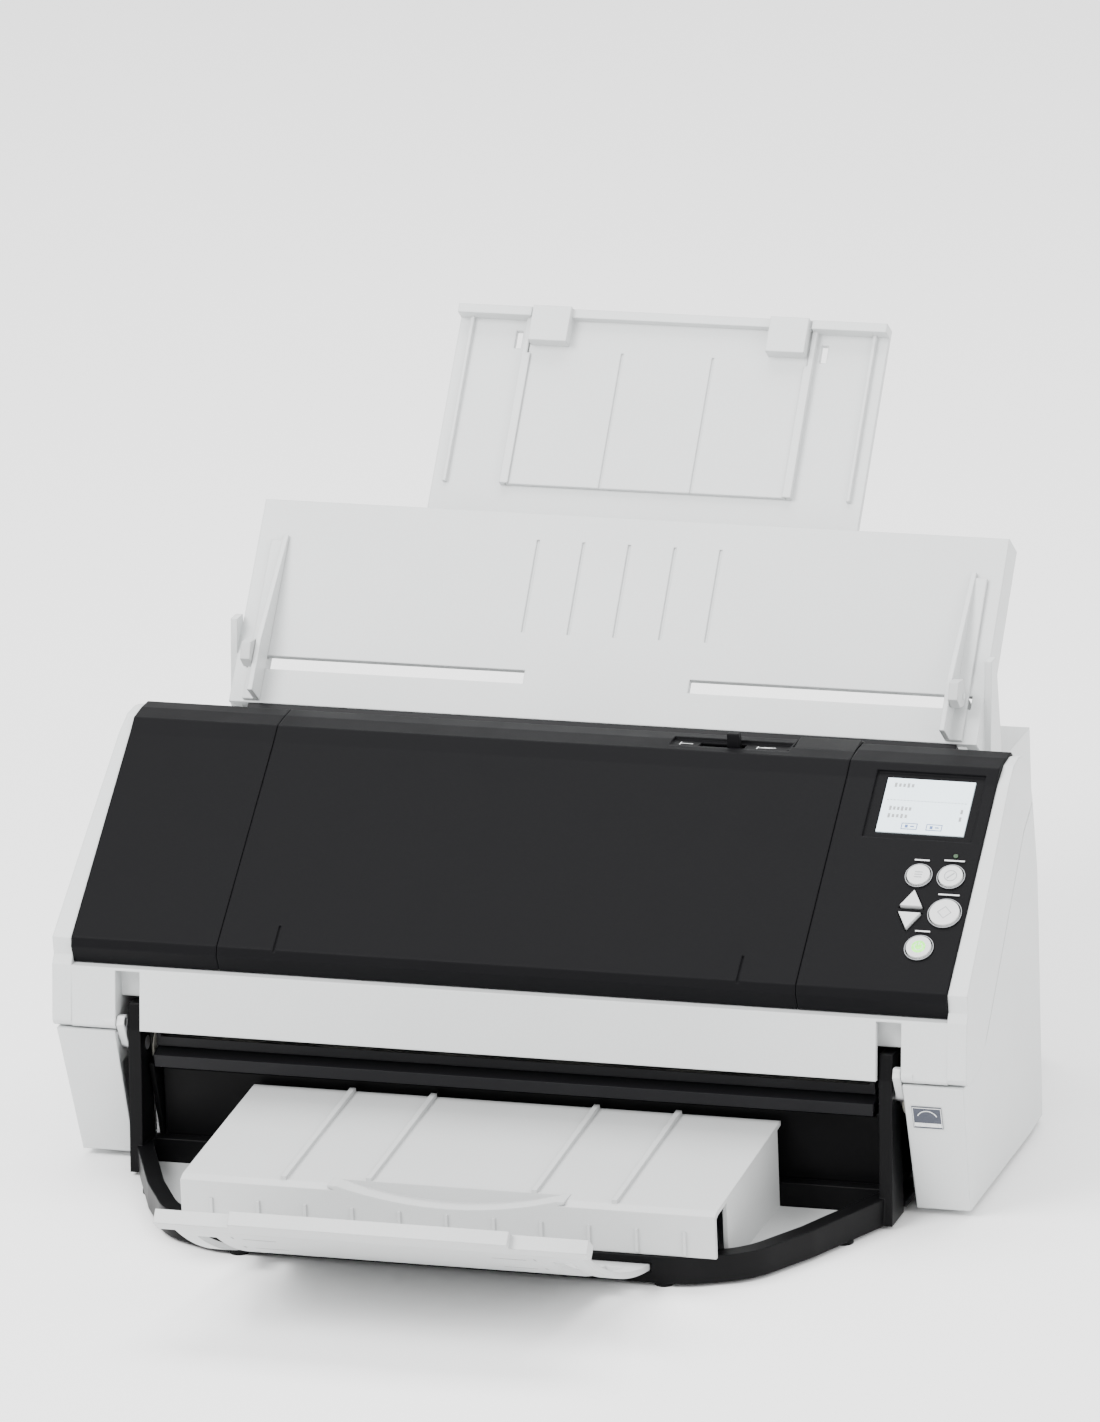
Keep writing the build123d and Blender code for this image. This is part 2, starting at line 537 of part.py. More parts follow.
def build_covers():
    seam = COVER_SEAM + SEAM_GAP / 2
    left = top_cover(-COVER_HALF, -seam)
    put("left_top_cover", left)
    centre = top_cover(-seam + SEAM_GAP, seam - SEAM_GAP)
    for x in (-99.0, 99.0):
        centre -= on(COVER, x - 0.5, x + 0.5, -12, 14, -0.7, 5)
    recess_0, recess_1, slot_0, slot_1 = SELECTOR
    centre -= block(recess_0, recess_1, -7, 2, RIDGE_Z - 1.2, RIDGE_Z + 5)
    centre -= block(slot_0, slot_1 + 0.5, -5, 0, RIDGE_Z - 8, RIDGE_Z + 5)
    centre -= block(LEVER_SPAN[0] - PLAY, COVER_SEAM + 2, -2.5, 20, RIDGE_Z - 14, RIDGE_Z + 5)
    put("centre_top_cover", centre + lever_bracket())
    panel = top_cover(seam, COVER_HALF)
    x0, x1, s0, s1 = LCD_RECESS
    panel -= on(COVER, x0, x1, s0, s1, -1.0, 5)
    x0, x1, s0, s1 = LCD
    panel -= on(COVER, x0 - 0.3, x1 + 0.3, s0 - 0.3, s1 + 0.3, -8, 5)
    for x, s, radius in BUTTONS.values():
        panel -= COVER * Pos(x, s, 0) * Cylinder(radius + BUTTON_GAP, 12)
    for x, s, way in ARROWS.values():
        panel -= arrow(x, s, way, ARROW_HALF + 0.9, -6, 6)
    x, s, radius = CHECK_LED
    panel -= COVER * Pos(x, s, 0) * Cylinder(radius + 0.15, 12)
    put("panel_cover", panel)


def arrow(x, s, way, half, n0, n1):
    """A triangular key, pointing up the slope for way 1 and down for -1."""
    tall = half * 0.85
    corners = [(x - half, s - way * tall), (x + half, s - way * tall), (x, s + way * tall)]
    face = make_face(Polyline(*corners, close=True))
    return COVER * extrude(Pos(0, 0, n0) * face, amount=n1 - n0, dir=(0, 0, 1))


def bezel():
    low = PARTING_Z + PARTING_GAP
    skirt_profile = [(CASE_FRONT + 0.1, low + 2.7), (CASE_FRONT + 1, low + 0.9), (HINGE_Y, low - 0.3), (-80, low),
                     (8, 133.8), (26, 141.3), (21, 156), (9, 166), (3, 167.3), (-6, 166.6),
                     (-16, 161.4), (-99.2, 99.4), (-98.5, 92), (-101, 88.2)]
    skirt = slab(skirt_profile, COVER_HALF + 0.2, HALF_WIDTH + FLARE) - flare()
    lip = [(CASE_FRONT, low + 0.2), (-101, 88.2), (-95, 88.6), (-94, 96)]
    front = band(lip, -WALL, -COVER_HALF - 0.2, COVER_HALF + 0.2)
    for gap in both(block(NOTCH_IN, NOTCH_OUT, -110, -97, low - 3, 87)):
        front -= gap
    crease = [(HINGE_Y + 0.5, low), (-80, low), (8, 133.8), (26, 141.3), (21, 156), (16.5, 159.5)]
    floor = band(crease, 2.0, NOTCH_OUT, COVER_HALF + 0.2)
    inner_wall = slab([(-101, low + 0.1), (-80, low + 0.1), (8, 134), (25.5, 141.5), (20, 154), (13, 157.5),
                       (6.5, 158), (6.5, 164), (-2, 164), (-12.5, 160), (-96, 98), (-94, 88), (-101, 87.6)],
                      NOTCH_OUT, NOTCH_OUT + 2)
    recess = block(NOTCH_IN - 2, NOTCH_OUT + 0.5, -94, -92, 74, 90)
    hub = rod(NOTCH_OUT, NOTCH_OUT + 5, HINGE_Y, HINGE_Z, OPEN_CORNER)
    arm = block(PATH_HALF, NOTCH_OUT, -60, -44, 100, 103)
    shape = front
    for piece in (skirt, floor, inner_wall, recess, hub, arm):
        for copy in both(piece):
            shape += copy
    shape += block(-COVER_HALF - 0.2, COVER_HALF + 0.2, 4.8, 6.8, 146, 163)
    shape -= on(COVER, 128, COVER_HALF, 6, 112, -12.5, -1)
    corner = block(NOTCH_OUT - 2, HALF_WIDTH + 9, -110, HINGE_Y, low - 3, HINGE_Z)
    corner -= rod(NOTCH_OUT - 3, HALF_WIDTH + 10, HINGE_Y, HINGE_Z, OPEN_CORNER)
    bore = rod(NOTCH_OUT - 1, NOTCH_OUT + 7, HINGE_Y, HINGE_Z, HINGE_R + FIT)
    for copy in both(corner) + both(bore):
        shape -= copy
    return shape


def build_feeder():
    build_covers()
    put("feeder_bezel", bezel())
    lift = PATH_GAP
    feed_run = [(10.2, 142), chute_at(78, lift + 1.5), chute_at(17.6, lift)]
    exit_run = [(NIP_Y - 1.6, NIP_Z + lift), at(EXIT_ANGLE, EXIT_FOOT, 5, lift), (EXIT_Y + 4, 57)]
    guide = band(feed_run, -GUIDE_T, -PATH_HALF, PATH_HALF) + band(exit_run, -GUIDE_T, -PATH_HALF, PATH_HALF)
    side = feed_run + exit_run + [(-93, 80), (-12, 148), (3, 150)]
    for wall in both(slab(side, PATH_HALF - 2, PATH_HALF)):
        guide += wall
    holes = [rod(-160, 160, *BRAKE_AT, 3 + FIT), rod(-160, 160, *PINCH_AT, 2.5 + FIT)]
    for cut in pockets(PINCH_AT, PINCH_R, EJECT_SPANS) + pockets(BRAKE_AT, BRAKE_R, FEED_SPANS):
        guide -= cut
    for cut in pockets(PICK_AT, FEED_R, PICK_SPANS) + holes:
        guide -= cut
    put("feeder_guide", guide)
    half = PATH_HALF - 2.6
    put("upper_scan_glass", on(CHUTE, -half, half, 2, 16.4, lift, lift + 2))
    put("upper_scan_unit", on(CHUTE, -half, half, 1.8, 16.6, lift + 2.1, 27))
    for name, axis, radius, core, spans in (("brake", BRAKE_AT, BRAKE_R, 3.0, FEED_SPANS),
                                            ("pinch", PINCH_AT, PINCH_R, 2.5, EJECT_SPANS)):
        idler = rod(-PATH_HALF, PATH_HALF, *axis, core)
        for x0, x1 in spans:
            idler += rod(x0, x1, *axis, radius)
        put(name + "_roller", idler)
    build_operator_panel()
    build_ridge_controls()


def build_operator_panel():
    x0, x1, s0, s1 = LCD
    put("lcd_window", on(COVER, x0, x1, s0, s1, -1.9, -0.8))
    put("lcd_module", on(COVER, x0 - 2, x1 + 2, s0 - 3, s1 + 1, -7.5, -2.6))
    board = on(COVER, 130, 185, 12, 109, -10.8, -9.2)
    for x, s in ((132, 16), (183, 16), (132, 104), (183, 104)):
        board += COVER * Pos(x, s, -5.9) * Cylinder(1.2, 6.7)
    put("button_board", board)
    x, s, radius = CHECK_LED
    put("check_led", COVER * Pos(x, s, -4.4) * Cylinder(radius, 9.4))
    for name, (x, s, radius) in BUTTONS.items():
        cap = COVER * Pos(x, s, (BUTTON_PROUD - 5) / 2) * Cylinder(radius, BUTTON_PROUD + 5)
        flange = COVER * Pos(x, s, -4.2) * Cylinder(radius + 1.0, 1.6)
        put(name, cap + flange)
    for name, (x, s, way) in ARROWS.items():
        stem = COVER * Pos(x, s, -4.0) * Box(2 * ARROW_HALF, 4, 2.0)
        put(name, arrow(x, s, way, ARROW_HALF, -5, BUTTON_PROUD) + stem)


def build_ridge_controls():
    x = SELECTOR_X
    knob = block(x - 2.6, x + 2.6, -4.2, -0.8, RIDGE_Z - 5, RIDGE_Z + 4.5)
    knob += block(x - 4.5, x + 4.5, -6.2, 1.0, RIDGE_Z - 5, RIDGE_Z - 3.2)
    put("feed_selector", knob)
    x0, x1 = LEVER_SPAN
    outline = [(-1.8, RIDGE_Z - 0.5), (9, RIDGE_Z + 0.6), (13.5, RIDGE_Z - 1.6), (13.5, RIDGE_Z - 4.5),
               (8, RIDGE_Z - 2.6), (4.2, RIDGE_Z - 3), (4.2, RIDGE_Z - 8.5), (-1.8, RIDGE_Z - 8.5)]
    lever = slab(outline, x0, x1)
    lever -= rod(x0 - 1, x1 + 1, *LEVER_PIVOT, 1.5 + FIT)
    put("cover_open_lever", lever)


LEVER_PIVOT = (1.2, RIDGE_Z - 5.5)


def lever_bracket():
    """The ears and pin under the ridge that carry the opening lever."""
    x0 = LEVER_SPAN[0]
    ear = slab([(-4, RIDGE_Z - 1), (4, RIDGE_Z - 1), (4, RIDGE_Z - 9), (-4, RIDGE_Z - 9)], x0 - 2.4, x0 - PLAY)
    return ear + rod(x0 - 2.2, COVER_SEAM - 1, *LEVER_PIVOT, 1.5)


# ---- paper stacker ----
def stack_outline(inset):
    """Half of the stacker's plan, front to rear, moved inwards."""
    points = [(0, STACK_FRONT), (100, STACK_FRONT), (125, -176), (142, -147), (ARM_OUT, -100),
              (ARM_OUT, -90.5)]
    return shifted(points, inset)


def plan(points, z0, z1):
    half = [p for p in points if p[0] >= 0]
    full = half + [(-x, y) for x, y in half[::-1] if x > 0]
    face = make_face(Polyline(*full, close=True))
    corners = [v for v in face.vertices() if v.Y < -140 and abs(v.X) > 90]
    face = fillet(corners, STACK_CORNER)
    return extrude(Pos(0, 0, z0) * face, amount=z1 - z0, dir=(0, 0, 1))


def arc_plate(radius_in, radius_out, start, end, x0, x1):
    """A curved sheet about the extension's axis; angles are from straight down to the front."""
    ring = rod(x0, x1, ARC_Y, ARC_Z, radius_out) - rod(x0 - 1, x1 + 1, ARC_Y, ARC_Z, radius_in)
    reach = radius_out + 40
    ends = [(ARC_Y - reach * sin(radians(a)), ARC_Z - reach * cos(radians(a))) for a in (start, end)]
    return ring & slab([(ARC_Y, ARC_Z)] + ends, x0 - 2, x1 + 2)


def build_stacker():
    outer = stack_outline(0)
    inner = stack_outline(STACK_RIM)
    frame = plan(outer, STACK_FLOOR, STACK_TOP)
    frame -= plan(inner[:-1] + [(inner[-2][0], -96.5)], STACK_FLOOR - 1, STACK_TOP + 1)
    arm = [(-108, STACK_FLOOR), (-90.5, STACK_FLOOR), (-90.3, 50), (-90.6, 72), (-99.5, 72.6), (-102, 62),
           (-103.5, 42)]
    for copy in both(slab(arm, ARM_IN, ARM_OUT)):
        frame += copy
    for copy in both(rod(ARM_IN - 1, ARM_OUT + 1, STACK_PIVOT_Y, STACK_PIVOT_Z, STACK_PIN + FIT)):
        frame -= copy
    half = ARC_PLATE / 2 + 0.6
    frame -= arc_plate(ARC_R - half, ARC_R + half, 4, 14, -ARC_HALF - 0.6, ARC_HALF + 0.6)
    for x, y in ((-90, -184), (90, -184), (-148, -125), (148, -125)):
        frame += Pos(x, y, STACK_FLOOR / 2) * Cylinder(4, STACK_FLOOR)
    put("stacker_frame", frame)
    put("stacker_tray", tray())
    plate = arc_plate(ARC_R - ARC_PLATE / 2, ARC_R + ARC_PLATE / 2, ARC_START, ARC_END - 2, -ARC_HALF, ARC_HALF)
    for window in both(arc_plate(ARC_R - 9, ARC_R + 9, 13, 34, 70, 78)):
        plate -= window
    bar = arc_plate(ARC_R - 3, ARC_R + 3, ARC_END - 3, ARC_END - 1, -ARC_BAR, ARC_BAR)
    bar += arc_plate(ARC_R - 3, ARC_R + 3, ARC_END - 2, ARC_END, -ARC_GRIP, ARC_GRIP)
    put("stacker_extension", plate + bar)


def tray():
    inner = stack_outline(STACK_RIM + 0.3)
    floor = plan(inner[:-1] + [(inner[-2][0], -97)], STACK_FLOOR, STACK_FLOOR + 1.3)
    deck = [(STACK_FRONT + 1, PLATFORM_FRONT_Z), (STACK_FRONT + 5, PLATFORM_FRONT_Z + 1.4),
            (PLATFORM_REAR, PLATFORM_REAR_Z)]
    top = band(deck, -2.0, -PLATFORM_HALF, PLATFORM_HALF)
    front = block(-PLATFORM_HALF, PLATFORM_HALF, STACK_FRONT + 1, STACK_FRONT + 3, STACK_TOP + 0.2,
                  PLATFORM_FRONT_Z)
    shape = floor + top + front
    side = [(STACK_FRONT + 18, STACK_FLOOR), (STACK_FRONT + 18, 31.8), (PLATFORM_REAR - 5, 36.8),
            (PLATFORM_REAR - 5, STACK_FLOOR)]
    for wall in both(slab(side, PLATFORM_HALF - 2, PLATFORM_HALF)):
        shape += wall
    for x in (-70, -35, 35, 70):
        shape += band(deck[1:], 1.6, x - 1.2, x + 1.2)
    for x in range(-100, 101, 20):
        shape += block(x - 0.7, x + 0.7, STACK_FRONT + 0.2, STACK_FRONT + 1, STACK_TOP + 1, 24)
    edge = PLATFORM_FRONT_Z + 1.4
    dip = Pos(0, STACK_FRONT + 4, edge + DIP_RADIUS - DIP_DEPTH) * Rot(90, 0, 0) * Cylinder(DIP_RADIUS, 10)
    liner = block(-50, 50, STACK_FRONT + 1, STACK_FRONT + 11, edge - DIP_DEPTH - 2, edge + 0.5)
    liner &= Pos(0, 2, -2) * dip
    return shape + liner - dip


def build_all():
    build_case()
    build_drive()
    build_lower_path()
    build_chute()
    build_feeder()
    build_stacker()


build_all()
BOXES = [shape.bounding_box() for shape in NODES.values()]
SHIFT = -(min(box.min.Y for box in BOXES) + max(box.max.Y for box in BOXES)) / 2
for node, shape in NODES.items():
    export_step(Pos(0, SHIFT, 0) * shape, f"parts/{node}.step")
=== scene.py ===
import json
import math

import bmesh
import bpy
from mathutils import Matrix, Vector


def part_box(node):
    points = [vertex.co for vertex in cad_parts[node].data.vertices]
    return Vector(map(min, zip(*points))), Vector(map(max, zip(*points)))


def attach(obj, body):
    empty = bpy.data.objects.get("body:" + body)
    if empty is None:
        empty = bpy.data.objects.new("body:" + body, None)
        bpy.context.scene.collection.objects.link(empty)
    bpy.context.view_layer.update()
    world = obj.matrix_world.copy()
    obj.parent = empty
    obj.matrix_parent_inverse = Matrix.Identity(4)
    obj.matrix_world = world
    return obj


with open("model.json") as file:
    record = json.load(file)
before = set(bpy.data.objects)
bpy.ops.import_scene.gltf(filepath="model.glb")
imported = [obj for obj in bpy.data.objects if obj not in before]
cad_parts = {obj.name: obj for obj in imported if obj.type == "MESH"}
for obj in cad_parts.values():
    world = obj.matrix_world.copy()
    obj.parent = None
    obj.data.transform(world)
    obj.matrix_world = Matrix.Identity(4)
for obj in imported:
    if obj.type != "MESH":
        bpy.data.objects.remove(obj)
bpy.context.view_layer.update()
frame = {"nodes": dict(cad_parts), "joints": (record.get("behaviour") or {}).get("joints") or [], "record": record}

# Metres and degrees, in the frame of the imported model.
COVER_TILT = math.radians(36.7)     # slope of the top covers
CAMERA_YAW = math.radians(18.0)     # to the right of straight ahead
CAMERA_PITCH = math.radians(18.0)
CAMERA_ROLL = math.radians(2.35)
CAMERA_DISTANCE = 4.77
CAMERA_AIM = Vector((-0.0144, 0.0773, 0.1699))
CAMERA_LENS = 291.0                 # on a 36 mm high sensor

UP_SLOPE = Vector((0, math.cos(COVER_TILT), math.sin(COVER_TILT)))
OUT = Vector((0, -math.sin(COVER_TILT), math.cos(COVER_TILT)))
ACROSS = Vector((1, 0, 0))
PRINT = 0.00006                     # thickness of printed marks
EXTENSION_FACE = 0.20227            # radius of the curved extension's outer face
LEG_RUN, LEG_RISE = 0.0160, 0.0585  # how far the front of a leg leans forward over its height


# ---- materials ----
class Shader:
    """A node tree around one Principled shader, with short calls for the usual pieces."""

    def __init__(self, name):
        self.material = bpy.data.materials.new(name)
        self.material.use_nodes = True
        self.nodes = self.material.node_tree.nodes
        self.links = self.material.node_tree.links
        self.main = self.nodes["Principled BSDF"]
        self.place = self.nodes.new("ShaderNodeTexCoord").outputs["Object"]

    def link(self, source, target):
        self.links.new(source, target)

    def noise(self, scale, detail=3.0, stretch=None):
        place = self.place
        if stretch:
            mapping = self.nodes.new("ShaderNodeMapping")
            mapping.inputs["Scale"].default_value = stretch
            self.link(place, mapping.inputs["Vector"])
            place = mapping.outputs["Vector"]
        node = self.nodes.new("ShaderNodeTexNoise")
        node.inputs["Scale"].default_value = scale
        node.inputs["Detail"].default_value = detail
        self.link(place, node.inputs["Vector"])
        return node.outputs["Fac"]

    def cells(self, scale):
        node = self.nodes.new("ShaderNodeTexVoronoi")
        node.inputs["Scale"].default_value = scale
        self.link(self.place, node.inputs["Vector"])
        return node.outputs["Distance"]

    def spread(self, source, low, high, from_low=0.3, from_high=0.7):
        node = self.nodes.new("ShaderNodeMapRange")
        node.inputs["From Min"].default_value = from_low
        node.inputs["From Max"].default_value = from_high
        node.inputs["To Min"].default_value = low
        node.inputs["To Max"].default_value = high
        self.link(source, node.inputs["Value"])
        return node.outputs["Result"]

    def mix(self, factor, a, b):
        node = self.nodes.new("ShaderNodeMix")
        node.data_type = "RGBA"
        self.link(factor, node.inputs["Factor"])
        for value, socket in ((a, node.inputs[6]), (b, node.inputs[7])):
            if isinstance(value, tuple):
                socket.default_value = (*value, 1)
            else:
                self.link(value, socket)
        return node.outputs[2]

    def rounded(self, radius):
        """Surface normals turned softly over every edge, as moulding radii do."""
        node = self.nodes.new("ShaderNodeBevel")
        node.samples = 6
        node.inputs["Radius"].default_value = radius
        return node.outputs["Normal"]

    def bump(self, height, distance, strength, normal=None):
        node = self.nodes.new("ShaderNodeBump")
        node.inputs["Distance"].default_value = distance
        node.inputs["Strength"].default_value = strength
        self.link(height, node.inputs["Height"])
        if normal:
            self.link(normal, node.inputs["Normal"])
        return node.outputs["Normal"]

    def edges(self, radius):
        """1 on worn edges and 0 on flat faces, broken up by noise."""
        flat = self.nodes.new("ShaderNodeNewGeometry").outputs["Normal"]
        dot = self.nodes.new("ShaderNodeVectorMath")
        dot.operation = "DOT_PRODUCT"
        self.link(self.rounded(radius), dot.inputs[0])
        self.link(flat, dot.inputs[1])
        worn = self.spread(dot.outputs["Value"], 1.0, 0.0, 0.80, 0.985)
        patchy = self.spread(self.noise(180, 4), 0.25, 1.0)
        both = self.nodes.new("ShaderNodeMath")
        both.operation = "MULTIPLY"
        self.link(worn, both.inputs[0])
        self.link(patchy, both.inputs[1])
        return both.outputs["Value"]

    def finish(self, colour=None, normal=None, roughness=None):
        for source, name in ((colour, "Base Color"), (normal, "Normal"), (roughness, "Roughness")):
            if source:
                self.link(source, self.main.inputs[name])
        return self.material


def shade(colour, by):
    return tuple(min(1.0, channel * by) for channel in colour)


def moulded(name, colour, rough, grain=900.0, depth=0.00003, wear=1.25, radius=0.0007, sheen=0.5):
    """Injection moulded plastic: spark-eroded grain, drifting gloss, edges rubbed smooth."""
    s = Shader(name)
    s.main.inputs["Specular IOR Level"].default_value = sheen
    tone = s.mix(s.spread(s.noise(14, 4), 0.0, 1.0), shade(colour, 0.965), shade(colour, 1.03))
    fine = s.mix(s.spread(s.noise(grain * 1.7, 2), 0.0, 1.0), shade(colour, 0.95), shade(colour, 1.04))
    half = s.nodes.new("ShaderNodeMix")
    half.data_type = "RGBA"
    half.inputs["Factor"].default_value = 0.5
    s.link(tone, half.inputs[6])
    s.link(fine, half.inputs[7])
    colour_out = s.mix(s.edges(radius), half.outputs[2], shade(colour, wear))
    rough_out = s.spread(s.noise(35, 5), rough - 0.05, rough + 0.06)
    pits = s.bump(s.cells(grain), depth, 0.35, s.rounded(radius))
    normal = s.bump(s.noise(grain * 2.2, 2), depth, 0.4, pits)
    return s.finish(colour_out, normal, rough_out)


def rubber(name):
    s = Shader(name)
    dust = s.mix(s.spread(s.noise(60, 6), 0.0, 1.0), (0.03, 0.03, 0.032), (0.075, 0.073, 0.07))
    rough = s.spread(s.noise(200, 3), 0.7, 0.9)
    ribs = s.bump(s.noise(700, 2, (0.1, 1, 1)), 0.0001, 0.6, s.rounded(0.0005))
    return s.finish(dust, ribs, rough)


def steel(name):
    s = Shader(name)
    s.main.inputs["Metallic"].default_value = 1.0
    tone = s.mix(s.spread(s.noise(30, 4), 0.0, 1.0), (0.48, 0.48, 0.49), (0.66, 0.66, 0.67))
    brushed = s.noise(900, 2, (0.03, 1, 1))
    rough = s.spread(brushed, 0.28, 0.45)
    return s.finish(tone, s.bump(brushed, 0.00002, 0.4, s.rounded(0.0003)), rough)


def scan_glass(name):
    s = Shader(name)
    s.main.inputs["Transmission Weight"].default_value = 0.75
    s.main.inputs["IOR"].default_value = 1.5
    smear = s.spread(s.noise(45, 5), 0.02, 0.12)
    tint = s.mix(s.spread(s.noise(9, 2), 0.0, 1.0), (0.72, 0.80, 0.82), (0.80, 0.86, 0.87))
    return s.finish(tint, None, smear)


def display(name):
    """A lit monochrome panel: pixel grid over a slightly uneven backlight."""
    s = Shader(name)
    s.main.inputs["Coat Weight"].default_value = 0.6
    s.main.inputs["Coat Roughness"].default_value = 0.08
    s.main.inputs["Emission Strength"].default_value = 0.55
    light = s.mix(s.spread(s.noise(28, 2), 0.0, 1.0), (0.66, 0.78, 0.86), (0.78, 0.88, 0.93))
    grid = s.mix(s.spread(s.cells(2600), 0.0, 1.0, 0.0, 0.5), light, (0.74, 0.85, 0.91))
    s.link(grid, s.main.inputs["Emission Color"])
    return s.finish(grid, None, s.spread(s.noise(80, 3), 0.1, 0.22))


def lamp(name, colour, power):
    s = Shader(name)
    s.main.inputs["Emission Strength"].default_value = power
    glow = s.mix(s.spread(s.noise(700, 2), 0.0, 1.0), shade(colour, 0.75), shade(colour, 1.15))
    s.link(glow, s.main.inputs["Emission Color"])
    return s.finish(glow, s.bump(s.noise(900, 2), 0.00002, 0.3), s.spread(s.noise(90, 3), 0.15, 0.3))


def circuit(name):
    s = Shader(name)
    tracks = s.nodes.new("ShaderNodeTexBrick")
    tracks.inputs["Scale"].default_value = 220
    tracks.inputs["Color1"].default_value = (0.012, 0.10, 0.045, 1)
    tracks.inputs["Color2"].default_value = (0.016, 0.13, 0.055, 1)
    tracks.inputs["Mortar"].default_value = (0.05, 0.24, 0.11, 1)
    s.link(s.place, tracks.inputs["Vector"])
    height = s.bump(tracks.outputs["Fac"], 0.00005, 0.5, s.rounded(0.0002))
    return s.finish(tracks.outputs["Color"], height, s.spread(s.noise(120, 3), 0.3, 0.5))


def ink(name, colour):
    s = Shader(name)
    tone = s.mix(s.spread(s.noise(1200, 3), 0.0, 1.0), shade(colour, 0.85), shade(colour, 1.1))
    return s.finish(tone, s.bump(s.noise(1500, 2), 0.00001, 0.3), s.spread(s.noise(300, 3), 0.45, 0.65))


def floor_finish(name):
    s = Shader(name)
    tone = s.mix(s.spread(s.noise(0.8, 3), 0.0, 1.0), (0.95, 0.95, 0.95), (0.965, 0.965, 0.965))
    return s.finish(tone, None, s.spread(s.noise(3, 3), 0.55, 0.65))


LIGHT_GREY = (0.58, 0.595, 0.595)
TRAY_GREY = (0.49, 0.50, 0.50)
KEY_GREY = (0.60, 0.61, 0.61)
GEAR_WHITE = (0.78, 0.76, 0.68)
COVER_BLACK = (0.0038, 0.0038, 0.0044)
FRAME_BLACK = (0.0030, 0.0030, 0.0033)
GUIDE_BLACK = (0.008, 0.008, 0.009)
FINISHES = {
    "light_plastic": moulded("light_plastic", LIGHT_GREY, 0.47, wear=1.08, radius=0.0010),
    "tray_plastic": moulded("tray_plastic", TRAY_GREY, 0.5, wear=1.1, radius=0.0008),
    "dark_cover": moulded("dark_cover", COVER_BLACK, 0.46, 1100, wear=2.2, radius=0.0012, sheen=0.06),
    "black_plastic": moulded("black_plastic", FRAME_BLACK, 0.38, wear=2.4, radius=0.0009, sheen=0.08),
    "guide_plastic": moulded("guide_plastic", GUIDE_BLACK, 0.38, wear=1.8, radius=0.0005, sheen=0.12),
    "button_plastic": moulded("button_plastic", KEY_GREY, 0.36, 2200, wear=1.06, radius=0.0008),
    "gear_plastic": moulded("gear_plastic", GEAR_WHITE, 0.4, 2000, wear=1.05, radius=0.0003),
    "rubber": rubber("rubber"),
    "steel": steel("steel"),
    "glass": scan_glass("glass"),
    "lcd": display("lcd"),
    "led_green": lamp("led_green", (0.02, 0.05, 0.02), 0.0),
    "board": circuit("board"),
}
DARK_PRINT = ink("dark_print", (0.045, 0.05, 0.07))
PALE_PRINT = ink("pale_print", (0.70, 0.71, 0.71))
GREY_PRINT = ink("grey_print", (0.30, 0.31, 0.32))
BLUE_PRINT = ink("blue_print", (0.07, 0.13, 0.32))
GREEN_GLOW = lamp("green_glow", (0.22, 0.85, 0.10), 1.6)


def paint_frame():
    for part in frame["record"]["subparts"]:
        node = frame["nodes"][part["node"]]
        node.data.materials.clear()
        node.data.materials.append(FINISHES[part["material_slot"]])


# ---- printed marks and small pieces ----
def piece(name, mesh_builder, material, body):
    """A mesh made by mesh_builder(bmesh), riding on a body."""
    shape = bmesh.new()
    mesh_builder(shape)
    mesh = bpy.data.meshes.new(name)
    shape.to_mesh(mesh)
    shape.free()
    made = bpy.data.objects.new(name, mesh)
    bpy.context.scene.collection.objects.link(made)
    mesh.materials.append(material)
    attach(made, body)
    return made


def outline_prism(shape, origin, axes, outline, thick):
    """A flat outline in the plane of axes[0] and axes[1], raised along axes[2]."""
    right, up, out = axes
    rings = []
    for lift in (0.0, thick):
        rings.append([shape.verts.new(origin + right * u + up * v + out * lift) for u, v in outline])
    low, high = rings
    shape.faces.new(high)
    shape.faces.new(low[::-1])
    count = len(outline)
    for i in range(count):
        j = (i + 1) % count
        shape.faces.new((low[i], low[j], high[j], high[i]))


def bar(x, y, wide, tall):
    return [(x - wide / 2, y - tall / 2), (x + wide / 2, y - tall / 2),
            (x + wide / 2, y + tall / 2), (x - wide / 2, y + tall / 2)]


def arc_strip(radius, width, start, end, steps=28):
    """The outline of an arc of a ring, in degrees."""
    angles = [math.radians(start + (end - start) * i / steps) for i in range(steps + 1)]
    outer = [(math.cos(a) * radius, math.sin(a) * radius) for a in angles]
    inner = [(math.cos(a) * (radius - width), math.sin(a) * (radius - width)) for a in reversed(angles)]
    return outer + inner


def marks(name, origin, axes, outlines, material, body, thick=PRINT):
    def build(shape):
        for outline in outlines:
            outline_prism(shape, origin, axes, outline, thick)
    return piece(name, build, material, body)


def face_centre(node, out):
    """The middle of a node's furthest face along out."""
    points = [v.co for v in frame["nodes"][node].data.vertices]
    far = max(p.dot(out) for p in points)
    top = [p for p in points if far - p.dot(out) < 1e-5]
    low = Vector([min(p[i] for p in top) for i in range(3)])
    high = Vector([max(p[i] for p in top) for i in range(3)])
    return (low + high) / 2


SLOPE_AXES = (ACROSS, UP_SLOPE, OUT)


